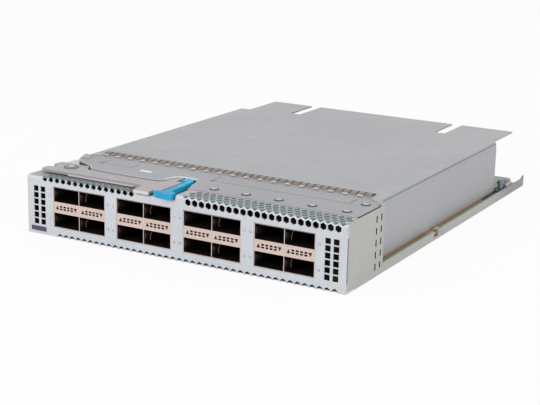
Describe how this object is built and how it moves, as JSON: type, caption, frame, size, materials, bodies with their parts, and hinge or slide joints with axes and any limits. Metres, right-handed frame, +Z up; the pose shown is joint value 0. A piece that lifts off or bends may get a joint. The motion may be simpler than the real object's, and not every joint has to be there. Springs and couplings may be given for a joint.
{
  "type": "switch line card",
  "caption": "Slide-in sheet-metal line card for a network switch, with grouped port cages across its front, a swinging ejector lever with a blue latch, and a ventilated folded housing.",
  "frame": {"origin": "centre of the tray's underside, at mid-width and mid-length", "axes": "+X to the right of the front panel, +Y to the rear (the way the card slides in), +Z up"},
  "size_m": [0.214, 0.2856, 0.04],
  "materials": {
    "panel_paint": "pale satin paint on folded sheet steel",
    "tray_steel": "bare galvanised sheet steel",
    "cover_steel": "matte pre-plated sheet steel",
    "lever_steel": "stamped plated steel",
    "latch_plastic": "bright blue moulded nylon",
    "cage_plating": "nickel-plated copper alloy",
    "connector_mould": "black moulded polymer",
    "light_pipe": "clear moulded light guide",
    "spring_strip": "bright spring alloy",
    "zinc_screw": "bright zinc plate",
    "board_laminate": "green solder mask over glass laminate",
    "chip_lid": "nickel-plated chip lid",
    "chip_mould": "black moulded package",
    "heatsink": "extruded aluminium",
    "die_cast": "die-cast zinc alloy",
    "label_ink": "dark blank label"
  },
  "bodies": {
    "housing": {"front_panel": "panel_paint", "base_tray": "tray_steel", "main_board": "board_laminate", "board_screws": "zinc_screw", "top_cover": "cover_steel", "cover_screws": "zinc_screw", "emi_finger_strip": "spring_strip", "lever_washer": "lever_steel", "pivot_rivet": "zinc_screw", "switch_chip": "chip_lid", "chip_heatsink": "heatsink", "gearbox_chips": "chip_mould", "power_modules": "chip_mould", "backplane_connector_left": "connector_mould", "backplane_connector_right": "connector_mould", "guide_socket_left": "die_cast", "guide_socket_right": "die_cast", "rear_lock_post": "zinc_screw", "rear_clip": "tray_steel", "label_strip": "label_ink", "port_cage_1": "cage_plating", "port_connectors_1": "connector_mould", "light_pipes_1": "light_pipe", "port_cage_2": "cage_plating", "port_connectors_2": "connector_mould", "light_pipes_2": "light_pipe", "port_cage_3": "cage_plating", "port_connectors_3": "connector_mould", "light_pipes_3": "light_pipe", "port_cage_4": "cage_plating", "port_connectors_4": "connector_mould", "light_pipes_4": "light_pipe"},
    "lever": {"ejector_lever": "lever_steel", "latch_spring": "spring_strip"},
    "latch": {"release_latch": "latch_plastic"}
  },
  "joints": [
    {"name": "lever_pivot", "type": "hinge", "parent": "housing", "child": "lever", "pos_m": [-0.0903, -0.12035, 0.037], "axis": [0, 0, -1], "range_deg": [0, 36]},
    {"name": "latch_slide", "type": "slide", "parent": "lever", "child": "latch", "axis": [-1, 0, 0], "range_m": [0, 0.002], "stiffness_N_per_m": 400, "deforming": ["latch_spring"]}
  ]
}
